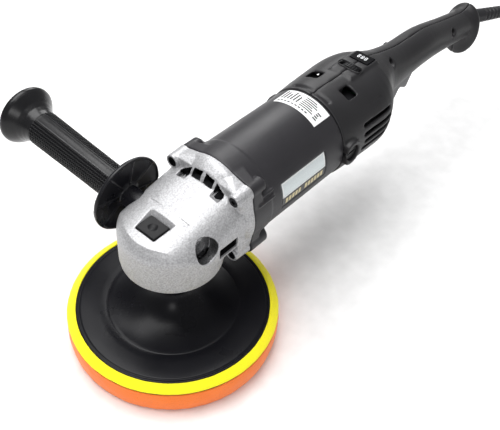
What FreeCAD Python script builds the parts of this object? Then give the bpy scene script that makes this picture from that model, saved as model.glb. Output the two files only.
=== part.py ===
import FreeCAD, Part

import math
import os

# Rotary polisher, in millimetres.
# Origin: centre of the foam pad's working face, which lies on the floor.
# +X runs back along the body to the rear handle, +Y to the side handle, +Z up.

# ---------------------------------------------------------------- driving dimensions
PAD_R = 90.0              # foam pad, 180 mm across
PAD_H = 24.0              # foam pad thickness
HOOK_T = 1.2              # hook-and-loop layer
CUSHION_H = 5.0           # yellow cushion layer under the backing plate
PLATE_R = 81.8            # backing plate
PLATE_T = 3.0

MOTOR_Z = 115.6           # height of the motor axis, where it meets the spindle axis
HEAD_R = 41.7             # gear head, half its width
HEAD_RIM_Z = 93.0         # lower rim of the gear head
HEAD_SIDE_Z = 105.0       # lower edge of its straight sides
HEAD_TOP_Z = 138.5        # top of the gear head above the spindle
HEAD_SLOPE = 0.2          # rise of its top towards the motor
JOINT_X = 50.0            # joint face between gear head and motor housing

TUBE_R = 41.9             # motor housing, outside
TUBE_IN_R = 38.5
TUBE_END_X = 165.0        # where the handle shells begin
WALL = 2.8                # handle shell thickness

SIDE_Z = 122.0            # axis of the side handle and its threaded holes
SIDE_FACE_Y = 41.0        # mouth of the round recess around each threaded hole
SIDE_SEAT_Y = 31.0        # seat at the bottom of the recess
SIDE_RISE = 3.3           # degrees by which the side handle climbs outwards
THREAD_R = 4.25           # M10 tapping radius
STUD_R = 4.2

BULB_X = 435.5            # widest ring of the rear handle's flared end
BULB_Z = 101.2
BULB_TILT = 11.0          # degrees by which the flare leans with the handle

CORD_R = 4.0
COIL_CENTRE = (540.0, -100.0)
COIL_IN_R = 32.0
COIL_OUT_R = 56.0
COIL_H = 16.0

GEAR_TEETH = 40
PINION_TEETH = 10
MODULE = 1.5
FACE_WIDTH = 9.0

V = FreeCAD.Vector
X_DIR = V(1, 0, 0)
Y_DIR = V(0, 1, 0)
Z_DIR = V(0, 0, 1)
parts = {}


# ---------------------------------------------------------------- plain shapes
def x_cyl(radius, x0, x1, y=0.0, z=MOTOR_Z):
    return Part.makeCylinder(radius, x1 - x0, V(x0, y, z), X_DIR)


def y_cyl(radius, y0, y1, x, z):
    return Part.makeCylinder(radius, y1 - y0, V(x, y0, z), Y_DIR)


def z_cyl(radius, z0, z1, x=0.0, y=0.0):
    return Part.makeCylinder(radius, z1 - z0, V(x, y, z0), Z_DIR)


def block(x0, x1, y0, y1, z0, z1):
    return Part.makeBox(x1 - x0, y1 - y0, z1 - z0, V(x0, y0, z0))


def polygon_face(points):
    return Part.Face(Part.makePolygon(list(points) + [points[0]]))


def turned_z(profile, x=0.0, y=0.0):
    """Solid of revolution about a vertical axis, from (radius, z) points."""
    face = polygon_face([V(x + r, y, z) for r, z in profile])
    return face.revolve(V(x, y, 0), Z_DIR, 360)


def turned_x(profile, y=0.0, z=MOTOR_Z):
    """Solid of revolution about an axis along X, from (x, radius) points."""
    face = polygon_face([V(x, y, z + r) for x, r in profile])
    return face.revolve(V(0, y, z), X_DIR, 360)


def turned_y(profile, x=0.0, z=SIDE_Z):
    """Solid of revolution about an axis along Y, from (y, radius) points."""
    face = polygon_face([V(x, y, z + r) for y, r in profile])
    return face.revolve(V(x, 0, z), Y_DIR, 360)


def fused(shapes):
    shapes = list(shapes)
    whole = shapes[0].multiFuse(shapes[1:]) if len(shapes) > 1 else shapes[0]
    return whole.removeSplitter()


def cut_all(shape, tools):
    return shape.cut(list(tools))


def mirrored_y(shape):
    return shape.mirror(V(0, 0, 0), Y_DIR)


def raised_outward(shape):
    """Side handle piece or tool, turned up to the handle's rise."""
    copy = shape.copy()
    copy.rotate(V(0, SIDE_FACE_Y, SIDE_Z), X_DIR, SIDE_RISE)
    return copy


def turned_about_motor(shape, degrees):
    copy = shape.copy()
    copy.rotate(V(0, 0, MOTOR_Z), X_DIR, degrees)
    return copy


def corner_points(half_y, half_z):
    """Four corners about the motor axis, as (y, z)."""
    return [(sy * half_y, MOTOR_Z + sz * half_z) for sy in (-1, 1) for sz in (-1, 1)]


def band(r_in, r_out, x0, x1, start, stop):
    """Piece of a tube about the motor axis, between two angles from +Z towards -Y."""
    def at(radius, degrees):
        a = math.radians(degrees)
        return V(x0, -radius * math.sin(a), MOTOR_Z + radius * math.cos(a))
    mid = (start + stop) / 2
    outer = Part.Arc(at(r_out, start), at(r_out, mid), at(r_out, stop)).toShape()
    inner = Part.Arc(at(r_in, stop), at(r_in, mid), at(r_in, start)).toShape()
    side_a = Part.makeLine(at(r_out, stop), at(r_in, stop))
    side_b = Part.makeLine(at(r_in, start), at(r_out, start))
    face = Part.Face(Part.Wire([outer, side_a, inner, side_b]))
    return face.extrude(V(x1 - x0, 0, 0))


def coil_spring(radius, wire_r, length, turns, start, direction):
    """Round-wire compression spring along a direction."""
    pitch = (length - 2 * wire_r) / turns
    helix = Part.makeHelix(pitch, length - 2 * wire_r, radius)
    section = Part.Wire([Part.makeCircle(wire_r, V(radius, 0, 0), Y_DIR)])
    spring = Part.Wire(helix.Edges).makePipeShell([section], True, True)
    spring.translate(V(0, 0, wire_r))
    spring.Placement = FreeCAD.Placement(start, FreeCAD.Rotation(Z_DIR, direction)).multiply(
        spring.Placement)
    return spring


# ---------------------------------------------------------------- foam, plate and hub
def make_pad():
    hook_z = PAD_H
    cushion_z = PAD_H + HOOK_T
    plate_top = cushion_z + CUSHION_H
    plate_z = plate_top - PLATE_T
    hub_top = 60.0
    parts["foam_pad"] = turned_z([(0, 0), (PAD_R - 4.5, 0), (PAD_R - 2.4, 0.8), (PAD_R - 1.2, 3),
                                  (PAD_R, PAD_H), (0, PAD_H)])
    parts["hook_layer"] = z_cyl(PAD_R - 0.4, hook_z, cushion_z)
    parts["cushion_layer"] = turned_z([(0, cushion_z), (PAD_R, cushion_z), (PAD_R, cushion_z + 0.8),
                                       (PLATE_R + 0.8, plate_top), (PLATE_R, plate_top),
                                       (PLATE_R, plate_z), (0, plate_z)])
    # The plate is nearly flat, then sweeps up to a slim hub like a trumpet bell.
    sweep_r, sweep_z = 43.0, 27.0
    hub_r = 12.0
    sweep_mid_angle = math.radians(45)
    centre_r, centre_z = hub_r + sweep_r, plate_top + sweep_z
    mid = V(centre_r - sweep_r * math.cos(sweep_mid_angle), 0,
            centre_z - sweep_z * math.sin(sweep_mid_angle))
    sweep = Part.Arc(V(centre_r, 0, plate_top), mid, V(hub_r + 0.6, 0, centre_z)).toShape()
    outline = [sweep,
               Part.makeLine(V(hub_r + 0.6, 0, centre_z), V(hub_r, 0, hub_top)),
               Part.makeLine(V(hub_r, 0, hub_top), V(0, 0, hub_top)),
               Part.makeLine(V(0, 0, hub_top), V(0, 0, plate_z)),
               Part.makeLine(V(0, 0, plate_z), V(PLATE_R, 0, plate_z)),
               Part.makeLine(V(PLATE_R, 0, plate_z), V(PLATE_R, 0, plate_top - 0.6)),
               Part.makeLine(V(PLATE_R, 0, plate_top - 0.6), V(PLATE_R - 0.6, 0, plate_top)),
               Part.makeLine(V(PLATE_R - 0.6, 0, plate_top), V(centre_r, 0, plate_top))]
    body = Part.Face(Part.Wire(outline)).revolve(V(0, 0, 0), Z_DIR, 360)
    insert_r = 9.0
    grooves = [turned_z([(r - 0.4, plate_top + 1), (r + 0.4, plate_top + 1),
                         (r + 0.4, plate_top - 0.4), (r - 0.4, plate_top - 0.4)])
               for r in (55.6, 79.0)]
    parts["backing_plate"] = cut_all(body, [z_cyl(insert_r, 34.0, hub_top + 1)] + grooves)
    parts["hub_insert"] = z_cyl(insert_r, 34.0, hub_top).cut(z_cyl(6.9, 36.0, hub_top + 1))


# ---------------------------------------------------------------- spindle and bevel gears
SPINDLE_TOP_Z = 124.0
LOCK_HOLE_R = 17.5        # circle of the spindle lock's holes in the gear


def cone_point(half_angle, distance):
    """Point on a cone about the apex, as (radius, depth from the apex)."""
    a = math.radians(half_angle)
    return distance * math.sin(a), distance * math.cos(a)


def bevel_tooth(pitch_angle, addendum, dedendum, tip_half, root_half):
    """One straight tooth of a bevel gear whose apex is the origin and whose axis is +Z."""
    a = math.radians(pitch_angle)
    heel = MODULE * math.hypot(GEAR_TEETH, PINION_TEETH) / 2
    toe = heel - FACE_WIDTH
    along = V(math.sin(a), 0, math.cos(a))
    outward = V(math.cos(a), 0, -math.sin(a))
    across = V(0, 1, 0)
    wires = []
    for distance in (toe, heel):
        k = distance / heel
        corners = [(-root_half, -dedendum), (root_half, -dedendum), (tip_half, addendum),
                   (-tip_half, addendum)]
        points = [along * distance + across * (w * k) + outward * (h * k) for w, h in corners]
        wires.append(Part.makePolygon(points + [points[0]]))
    return Part.makeLoft(wires, True, True)


def drive_gear():
    pitch_angle = math.degrees(math.atan2(GEAR_TEETH, PINION_TEETH))
    heel = MODULE * math.hypot(GEAR_TEETH, PINION_TEETH) / 2
    toe = heel - FACE_WIDTH
    dedendum = 1.95
    root_angle = pitch_angle - math.degrees(math.atan2(dedendum - 0.25, heel))
    toe_r, toe_d = cone_point(root_angle, toe)
    heel_r, heel_d = cone_point(root_angle, heel)
    web_top = MOTOR_Z - 104.0
    rim_bottom = MOTOR_Z - 98.0
    hub_top = MOTOR_Z - 107.0
    spacer_bottom = MOTOR_Z - 91.0
    blank = turned_z([(7.5, hub_top), (12, hub_top), (12.5, web_top), (toe_r - 0.3, web_top),
                      (toe_r, toe_d), (heel_r, heel_d), (heel_r, rim_bottom - 1),
                      (heel_r - 1, rim_bottom), (12, rim_bottom), (10, rim_bottom + 1),
                      (10, spacer_bottom), (7.5, spacer_bottom)])
    tooth = bevel_tooth(pitch_angle, 1.15, dedendum, 0.52, 1.5)
    teeth = []
    for i in range(GEAR_TEETH):
        copy = tooth.copy()
        copy.rotate(V(0, 0, 0), Z_DIR, i * 360.0 / GEAR_TEETH)
        teeth.append(copy)
    gear = blank.multiFuse(teeth)
    holes = [z_cyl(2.8, web_top - 1, rim_bottom + 1, LOCK_HOLE_R * math.cos(math.radians(30 * i)),
                   LOCK_HOLE_R * math.sin(math.radians(30 * i))) for i in range(12)]
    gear = cut_all(gear, holes)
    # Depth below the apex becomes height: turned over about the X axis, which keeps a tooth at +X.
    gear.rotate(V(0, 0, 0), X_DIR, 180)
    gear.translate(V(0, 0, MOTOR_Z))
    return gear


def drive_pinion():
    pitch_angle = math.degrees(math.atan2(PINION_TEETH, GEAR_TEETH))
    heel = MODULE * math.hypot(GEAR_TEETH, PINION_TEETH) / 2
    toe = heel - FACE_WIDTH
    dedendum = 1.9
    root_angle = pitch_angle - math.degrees(math.atan2(dedendum - 0.2, heel))
    toe_r, toe_d = cone_point(root_angle, toe)
    heel_r, heel_d = cone_point(root_angle, heel)
    blank = turned_z([(3, toe_d), (toe_r, toe_d), (heel_r, heel_d), (heel_r, 31.0), (3, 31.0)])
    tooth = bevel_tooth(pitch_angle, 1.35, dedendum, 0.42, 1.45)
    teeth = []
    for i in range(PINION_TEETH):
        copy = tooth.copy()
        copy.rotate(V(0, 0, 0), Z_DIR, i * 360.0 / PINION_TEETH)
        teeth.append(copy)
    pinion = blank.multiFuse(teeth)
    # The axis turns from +Z to +X; the half step puts a gap, not a tooth, at the bottom.
    pinion.rotate(V(0, 0, 0), Z_DIR, 180.0 / PINION_TEETH)
    pinion.rotate(V(0, 0, 0), Y_DIR, 90)
    pinion.translate(V(0, 0, MOTOR_Z))
    return pinion


def hexagon_x(across_flats, x0, x1):
    radius = across_flats / math.sqrt(3)
    points = [V(x0, radius * math.cos(math.radians(60 * i)),
                MOTOR_Z + radius * math.sin(math.radians(60 * i))) for i in range(6)]
    return polygon_face(points).extrude(V(x1 - x0, 0, 0))


def make_spindle():
    shaft = turned_z([(0, 38), (5.8, 38), (6.85, 39.2), (6.85, 62), (12.5, 62), (12.5, 67), (9.5, 67),
                      (9.5, 80), (7.5, 80), (7.5, 107), (6, 107), (6, SPINDLE_TOP_Z - 0.8),
                      (5.2, SPINDLE_TOP_Z), (0, SPINDLE_TOP_Z)])
    flats = [block(-20, 20, 11, 20, 61, 68), block(-20, 20, -20, -11, 61, 68)]
    parts["spindle"] = cut_all(shaft, flats)
    parts["drive_gear"] = drive_gear()
    parts["gear_clip"] = z_cyl(8.6, 107, 108.2).cut(z_cyl(6, 106, 109))
    lug_gap = block(0, 10, -2, 2, 106, 109)
    parts["gear_clip"] = parts["gear_clip"].cut(lug_gap)
    outer = z_cyl(17.5, 80, 91).cut(z_cyl(14.3, 79, 92))
    seals = [z_cyl(14.3, z, z + 1).cut(z_cyl(10.5, z - 1, z + 2)) for z in (80.3, 89.7)]
    parts["spindle_bearing_outer"] = fused([outer] + seals)
    parts["spindle_bearing_inner"] = z_cyl(10.2, 80, 91).cut(z_cyl(7.5, 79, 92))
    parts["spindle_top_bush"] = z_cyl(8.5, 117.5, 125).cut(z_cyl(6.05, 117, 126))


# ---------------------------------------------------------------- gear head
LOCK_X = -18.4            # centre of the spindle lock button
LOCK_HALF_X = 8.6
LOCK_HALF_Y = 10.2
LOCK_FLOOR_Z = 122.5
LOCK_PIN_R = 2.3
BOSS_Y = 32.6             # screw bosses about the motor axis
BOSS_Z = 29.4
FLANGE_R = 42.6


def superellipse_wire(x, centre_z, half_y, half_z, power, count=24):
    """Closed smooth outline in a plane across X."""
    points = []
    for i in range(count):
        a = 2 * math.pi * (i + 0.5) / count
        c, s = math.cos(a), math.sin(a)
        y = half_y * math.copysign(abs(c) ** (2 / power), c)
        z = half_z * math.copysign(abs(s) ** (2 / power), s)
        points.append(V(x, y, centre_z + z))
    curve = Part.BSplineCurve()
    curve.interpolate(Points=points, PeriodicFlag=True)
    return Part.Wire([curve.toShape()])


def head_form():
    """Outside of the cast head, before its flange: round in front, arched across the top."""
    plan = fused([z_cyl(HEAD_R, HEAD_RIM_Z, 170), block(0, 40, -HEAD_R, HEAD_R, HEAD_SIDE_Z, 170)])
    arch_low = 105.0
    arch = superellipse_wire(-60, arch_low - 60 * HEAD_SLOPE, HEAD_R, HEAD_TOP_Z - arch_low, 2.9, 32)
    arch_solid = Part.Face(arch).extrude(V(110, 0, 110 * HEAD_SLOPE))
    low_part = block(-60, 50, -60, 60, HEAD_RIM_Z - 10, arch_low)
    dome = turned_z([(0, 60), (HEAD_R, 60), (HEAD_R, 120), (HEAD_R - 0.7, 124), (HEAD_R - 2.7, 128),
                     (HEAD_R - 6.2, 131.6), (HEAD_R - 11, 134.2), (HEAD_R - 17, 135.8), (0, 139)])
    rear = block(0, 60, -60, 60, 60, 170)
    return plan.common(fused([arch_solid, low_part])).common(fused([dome, rear]))


def vent_prism(outline):
    points = [V(28, y, z) for y, z in outline]
    return polygon_face(points).extrude(V(18, 0, 0))


def gear_head():
    flange = [turned_x([(32.5, 0), (32.5, 29), (34.5, 34), (38, 38), (43, 41.3), (46, FLANGE_R),
                        (JOINT_X, FLANGE_R), (JOINT_X, 0)])]
    flange += [turned_x([(33.5, 0), (33.5, 5.6), (34, 6.1), (JOINT_X, 6.8), (JOINT_X, 0)], y, z)
               for y, z in corner_points(BOSS_Y, BOSS_Z)]
    body = fused([head_form()] + flange)

    cuts = [z_cyl(41.4, 60, HEAD_RIM_Z),                      # clearance around the bearing retainer
            z_cyl(35.0, HEAD_RIM_Z - 1, 95.0),                # its register
            z_cyl(33.0, 94.9, 115.0),                         # gear chamber
            x_cyl(11.5, 14, 37),                              # pinion chamber
            x_cyl(14.0, 36, 60),                              # front bearing's seat
            z_cyl(8.5, 114, 125.0),                           # top bush's seat
            x_cyl(38.5, 44, 60).cut(x_cyl(17.5, 40, 60)),     # air space around the seat
            x_cyl(34.0, 38.5, 45).cut(x_cyl(17.5, 38, 60)),
            x_cyl(40, 47, 60)]
    # Spindle lock: square pocket with a bevelled mouth, and the pin's hole.
    cuts.append(block(LOCK_X - LOCK_HALF_X, LOCK_X + LOCK_HALF_X, -LOCK_HALF_Y, LOCK_HALF_Y,
                      LOCK_FLOOR_Z, 150))
    cuts.append(Part.makeLoft([rectangle_wire(LOCK_HALF_X, LOCK_HALF_Y, 132.6),
                               rectangle_wire(LOCK_HALF_X + 4.0, LOCK_HALF_Y + 4.0, 138.6)],
                              True, True))
    cuts.append(z_cyl(LOCK_PIN_R + 0.05, 114, 124, -LOCK_HOLE_R))
    # Threaded side handle holes, in round recesses.
    for hole in (y_cyl(10.4, SIDE_SEAT_Y, SIDE_FACE_Y + 5, 0, SIDE_Z),
                 y_cyl(THREAD_R, SIDE_SEAT_Y - 10, SIDE_SEAT_Y + 1, 0, SIDE_Z)):
        cuts += [raised_outward(hole), mirrored_y(raised_outward(hole))]
    # Air outlets: four in the flange's slope, one long one in each side.
    inner = [(2.0, 146.2), (10.2, 144.7), (10.2, 150.6), (2.0, 152.2)]
    outer = [(13.4, 143.4), (22.8, 137.2), (22.2, 143.0), (13.4, 149.4)]
    for outline in (inner, outer):
        cuts.append(vent_prism(outline))
        cuts.append(mirrored_y(vent_prism(outline)))
    side_slot = block(11, 31, -46, -20, 106.6, 116).fuse(block(30, 45, -34, -20, 106.6, 116))
    side_slot = side_slot.cut(z_cyl(37.0, 100, 120))
    cuts += [side_slot, mirrored_y(side_slot)]
    # Screw holes.
    for y, z in corner_points(BOSS_Y, BOSS_Z):
        cuts.append(x_cyl(2.4, 30, 60, y, z))
        cuts.append(x_cyl(4.3, 30, 36, y, z))
    for i in range(4):
        a = math.radians(45 + 90 * i)
        cuts.append(z_cyl(1.9, HEAD_RIM_Z - 1, 103, 38 * math.cos(a), 38 * math.sin(a)))
    return cut_all(body, cuts)


def rectangle_wire(half_x, half_y, z):
    corners = [(-1, -1), (1, -1), (1, 1), (-1, 1)]
    points = [V(LOCK_X + sx * half_x, sy * half_y, z) for sx, sy in corners]
    return Part.makePolygon(points + [points[0]])


def make_head():
    parts["gear_head_housing"] = gear_head()
    retainer = turned_z([(12, 78), (25.5, 78), (27, 79.5), (27, 88), (30, 90), (40.6, 90), (41.2, 90.6),
                         (41.2, HEAD_RIM_Z), (34.9, HEAD_RIM_Z), (34.9, 95), (17.5, 95), (17.5, 80),
                         (12, 80)])
    holes = []
    screws = []
    for i in range(4):
        a = math.radians(45 + 90 * i)
        x, y = 38 * math.cos(a), 38 * math.sin(a)
        holes += [z_cyl(1.9, 85, 95, x, y), z_cyl(3.0, 85, 92, x, y)]
        screw = z_cyl(1.8, 90, 102, x, y).fuse(z_cyl(2.9, 90.2, 92, x, y))
        screws.append(screw.cut(z_cyl(1.3, 89, 91.2, x, y)))
    parts["bearing_retainer"] = cut_all(retainer, holes)
    parts["retainer_screws"] = Part.makeCompound(screws)

    bolts = []
    for y, z in corner_points(BOSS_Y, BOSS_Z):
        bolt = x_cyl(2.1, 36, 64, y, z).fuse(x_cyl(4.1, 33.8, 36, y, z))
        bolts.append(bolt.cut(x_cyl(1.9, 32, 35.0, y, z)))
    parts["gear_head_screws"] = Part.makeCompound(bolts)


# ---------------------------------------------------------------- spindle lock
def make_spindle_lock():
    half_x, half_y = LOCK_HALF_X - 0.3, LOCK_HALF_Y - 0.3
    button = block(LOCK_X - half_x, LOCK_X + half_x, -half_y, half_y, 128.5, 134.2)
    button = button.makeFillet(0.9, [e for e in button.Edges if e.BoundBox.ZMin > 134.1])
    dimple = Part.makeSphere(7.0, V(LOCK_X, 0, 134.2 + 5.8))
    button = cut_all(button, [dimple, z_cyl(LOCK_PIN_R, 128, 131, -LOCK_HOLE_R)])
    parts["spindle_lock_button"] = button
    parts["spindle_lock_pin"] = z_cyl(LOCK_PIN_R, 105.6, 131, -LOCK_HOLE_R)
    parts["spindle_lock_spring"] = coil_spring(3.7, 0.5, 6.0, 3.5, V(-LOCK_HOLE_R, 0, LOCK_FLOOR_Z), Z_DIR)


# ---------------------------------------------------------------- motor housing and motor
def make_motor_housing():
    collar_end = 70.0
    body = [turned_x([(JOINT_X, 0), (JOINT_X, FLANGE_R), (collar_end, FLANGE_R), (collar_end + 2, TUBE_R),
                      (TUBE_END_X, TUBE_R), (TUBE_END_X, 0)])]
    for y, z in corner_points(BOSS_Y, BOSS_Z):
        lug_r, lug_end = (6.3, 68) if z > MOTOR_Z else (8.2, 73)
        body.append(turned_x([(JOINT_X, 0), (JOINT_X, lug_r), (lug_end - 4, lug_r), (lug_end, 2),
                              (lug_end, 0)], y, z))
    cuts = [turned_x([(JOINT_X - 1, 0), (JOINT_X - 1, TUBE_IN_R), (TUBE_END_X + 1, TUBE_IN_R),
                      (TUBE_END_X + 1, 0)])]
    cuts += [x_cyl(2.2, JOINT_X - 1, 65, y, z) for y, z in corner_points(BOSS_Y, BOSS_Z)]
    cuts.append(band(40.6, 45, 84, 141, 65, 99.5))             # flat recess of the side nameplate
    housing = cut_all(fused(body), cuts)
    ribs = []
    for angle in (45, 135, 225, 315):
        rib = block(90, 145, -2, 2, MOTOR_Z + 35.98, MOTOR_Z + TUBE_IN_R + 0.3)
        ribs.append(turned_about_motor(rib, angle).cut(x_cyl(36.0, 80, 150)))
    # A raised rib pair on each side, behind the front collar.
    side_ribs = []
    for angle in (62, 70):
        rib = block(56, 74, -1.1, 1.1, MOTOR_Z + 40, MOTOR_Z + 44.2)
        side_ribs += [turned_about_motor(rib, angle), turned_about_motor(rib, -angle)]
    parts["motor_housing"] = fused([housing] + ribs + side_ribs)
    parts["nameplate"] = band(40.6, 41.3, 85, 140, 66, 86.0)
    parts["trim_strip"] = band(40.6, 41.2, 85, 140, 86.6, 98.8)
    parts["spec_label"] = band(TUBE_R, TUBE_R + 0.25, 141.5, 162.5, -29, 35)
    baffle = turned_x([(68, 30), (68, TUBE_IN_R), (70, TUBE_IN_R), (70, 33), (74, 29), (73, 28)])
    parts["fan_baffle"] = baffle


def make_stator():
    core = x_cyl(36.0, 90, 145).cut(x_cyl(30.5, 80, 150))
    poles = []
    for turn in (0, 180):
        pole = band(23.2, 31.0, 90, 145, -52, 52)
        poles.append(turned_about_motor(pole, turn))
    parts["stator_core"] = fused([core] + poles)
    coils = []
    for start, stop in ((54, 86), (94, 126)):
        long_side = band(24.2, 30.0, 83, 152, start, stop)
        coils += [long_side, turned_about_motor(long_side, 180)]
    ends = []
    for x0, x1 in ((83, 88.5), (146.5, 152)):
        ends.append(band(25.5, 30.0, x0, x1, -60, 60))
        ends.append(turned_about_motor(band(25.5, 30.0, x0, x1, -60, 60), 180))
    parts["field_coils"] = fused(coils + ends)


def make_armature():
    parts["armature_shaft"] = turned_x([(15.5, 0), (15.5, 2.6), (16, 3), (31, 3), (31, 6), (187, 6), (187, 4),
                                        (199.5, 4), (200, 3.5), (200, 0)])
    parts["drive_pinion"] = drive_pinion()
    parts["pinion_nut"] = hexagon_x(8.0, 16.8, 20.4).cut(x_cyl(3, 16, 21))

    core = x_cyl(22.6, 92, 143).cut(x_cyl(6, 90, 150))
    slots = []
    for i in range(12):
        slot = block(90, 145, -0.9, 0.9, MOTOR_Z + 19, MOTOR_Z + 24)
        slots.append(turned_about_motor(slot, 30 * i))
        slots.append(turned_about_motor(x_cyl(2.6, 90, 145, 0, MOTOR_Z + 17.5), 30 * i))
    parts["armature_core"] = cut_all(core, slots)
    front = turned_x([(80, 6), (80, 10), (82, 16), (86, 20.5), (92, 20.5), (92, 6)])
    rear = turned_x([(143, 6), (143, 20.5), (150, 20.5), (156, 16), (160, 11), (160, 6)])
    parts["armature_windings"] = Part.makeCompound([front, rear])

    bars = turned_x([(161, 6), (161, 16.5), (164, 16.5), (164.5, 15), (184, 15), (184, 6)])
    gaps = [turned_about_motor(block(160, 185, -0.3, 0.3, MOTOR_Z + 13.2, MOTOR_Z + 18), 15 * i)
            for i in range(24)]
    parts["commutator"] = cut_all(bars, gaps)

    hub = turned_x([(53, 6), (53, 10), (62, 12), (64, 36), (66, 36), (66, 6)])
    blades = []
    for i in range(11):
        blade = block(55, 64.5, -0.8, 0.8, MOTOR_Z + 9, MOTOR_Z + 35.5)
        blade.rotate(V(0, 0, MOTOR_Z + 9), X_DIR, 18)
        blades.append(turned_about_motor(blade, i * 360.0 / 11))
    parts["cooling_fan"] = fused([hub] + blades)

    parts["front_bearing_outer"] = bearing_outer(36, 44, 14.0, 11.6, 8.5)
    parts["front_bearing_inner"] = x_cyl(8.2, 36, 44).cut(x_cyl(6, 35, 45))
    parts["rear_bearing_outer"] = bearing_outer(190, 197, 11.0, 9.2, 6.4)
    parts["rear_bearing_inner"] = x_cyl(6.1, 190, 197).cut(x_cyl(4, 189, 198))


def bearing_outer(x0, x1, out_r, race_r, seal_r):
    race = x_cyl(out_r, x0, x1).cut(x_cyl(race_r, x0 - 1, x1 + 1))
    seals = [x_cyl(race_r, x, x + 0.8).cut(x_cyl(seal_r, x - 1, x + 2)) for x in (x0 + 0.2, x1 - 1.0)]
    return fused([race] + seals)


# ---------------------------------------------------------------- brushes
BRUSH_X = 173.0
CAP_Y = 44.5              # outer face of a brush cap


def make_brushes():
    holder = block(BRUSH_X - 5.5, BRUSH_X + 5.5, -39.5, -17.5, MOTOR_Z - 4.6, MOTOR_Z + 4.6)
    holder = holder.cut(block(BRUSH_X - 4.05, BRUSH_X + 4.05, -41, -16, MOTOR_Z - 3.05, MOTOR_Z + 3.05))
    brush = block(BRUSH_X - 4, BRUSH_X + 4, -29, -15.1, MOTOR_Z - 3, MOTOR_Z + 3)
    spring = coil_spring(2.2, 0.35, 10.0, 5, V(BRUSH_X, -39.0, MOTOR_Z), Y_DIR)
    for name, piece in (("brush_holders", holder), ("carbon_brushes", brush), ("brush_springs", spring)):
        parts[name] = Part.makeCompound([piece, mirrored_y(piece)])
    cap = turned_y([(-CAP_Y, 0), (-CAP_Y, 6.9), (-CAP_Y + 0.6, 7.5), (-40.2, 7.5), (-40.2, 4.5), (-39.6, 4.5),
                    (-39.6, 0)], BRUSH_X, MOTOR_Z)
    cap = cap.cut(block(BRUSH_X - 5.4, BRUSH_X + 5.4, -CAP_Y - 1, -CAP_Y + 1.6, MOTOR_Z - 0.8, MOTOR_Z + 0.8))
    parts["brush_cap_left"] = cap
    parts["brush_cap_right"] = mirrored_y(cap)


# ---------------------------------------------------------------- rear housing and handle
# Sections along the handle: x, centre height, half width, half height, squareness.
SECTIONS = [(TUBE_END_X, 115.6, 42.6, 42.6, 2.03),
            (182, 115.6, 43.9, 42.2, 2.1),
            (205, 115.6, 44.6, 41.4, 2.2),
            (230, 116.2, 44.2, 40.6, 2.3),
            (244, 118.6, 38.5, 38.4, 2.3),
            (257, 122.4, 28.0, 31.6, 2.2),
            (272, 124.2, 21.2, 25.4, 2.2),
            (300, 123.6, 18.4, 20.4, 2.2),
            (345, 123.4, 17.2, 18.4, 2.2),
            (390, 116.2, 16.0, 16.0, 2.1),
            (434, 108.4, 15.2, 15.2, 2.0)]
HANDLE_RINGS = 34
DIAL_X = 222.0
DIAL_Z = 146.6
DIAL_R = 12.6
WINDOW_X = 240.5
PIVOT_X = 289.0           # trigger pivot
PIVOT_Z = 109.0
LOCK_ON_X = 312.0
LOCK_ON_Z = 127.0
# Screws through the handle shells: x, z, and how far out in -Y the head sits.
SHELL_SCREWS = [(182.0, 82.0, 20.0), (216.0, 82.0, 20.0), (271.5, 143.5, 8.0), (388.5, 123.5, 8.0)]
CORD_START = V(462.0, 0.0, 104.5)                  # bend of the cord boot


def between(values, xs, k, t):
    """Smooth value a fraction t past station k, by a cubic through its neighbours."""
    step = xs[k + 1] - xs[k]
    start, stop = values[k], values[k + 1]
    slope_in = slope_out = stop - start
    if k > 0:
        slope_in = (stop - values[k - 1]) / (xs[k + 1] - xs[k - 1]) * step
    if k + 2 < len(xs):
        slope_out = (values[k + 2] - start) / (xs[k + 2] - xs[k]) * step
    return ((2 * t ** 3 - 3 * t ** 2 + 1) * start + (t ** 3 - 2 * t ** 2 + t) * slope_in
            + (3 * t ** 2 - 2 * t ** 3) * stop + (t ** 3 - t ** 2) * slope_out)


def handle_form(inset):
    """Handle's outer form, or with an inset its inner form, in short straight-sided rings."""
    columns = list(zip(*SECTIONS))
    xs = columns[0]
    wires = []
    for i in range(HANDLE_RINGS + 1):
        x = xs[0] + (xs[-1] - xs[0]) * i / HANDLE_RINGS
        k = min(max(j for j in range(len(xs)) if xs[j] <= x + 1e-6), len(xs) - 2)
        t = (x - xs[k]) / (xs[k + 1] - xs[k])
        z, half_y, half_z, power = [between(values, xs, k, t) for values in columns[1:]]
        wires.append(superellipse_wire(x, z, half_y - inset, half_z - inset, power))
    return Part.makeLoft(wires, True, True)


def bulb_form():
    """Flared end of the handle: an oval rim, taller than wide, domed behind."""
    rings = [(-13, 13.5, 13.5, 8.6), (-10, 15.4, 16.6, 6.2), (-6.5, 16.8, 20.2, 3.4), (-4, 18.2, 24.2, 1.4),
             (-1.5, 19.6, 27.6, 0.3), (0.5, 20.3, 28.7, 0), (2.5, 19.8, 28.2, 0), (5, 17.4, 25.4, 0),
             (7.5, 14.4, 20.6, 0.6), (10, 11.4, 14.6, 1.8), (12, 10.6, 11.4, 3.4)]
    wires = [superellipse_wire(s, rise, half_y, half_z, 2.0) for s, half_y, half_z, rise in rings]
    form = Part.makeLoft(wires, True, True)
    form.rotate(V(0, 0, 0), Y_DIR, BULB_TILT)
    form.translate(V(BULB_X, 0, BULB_Z))
    return form


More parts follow.
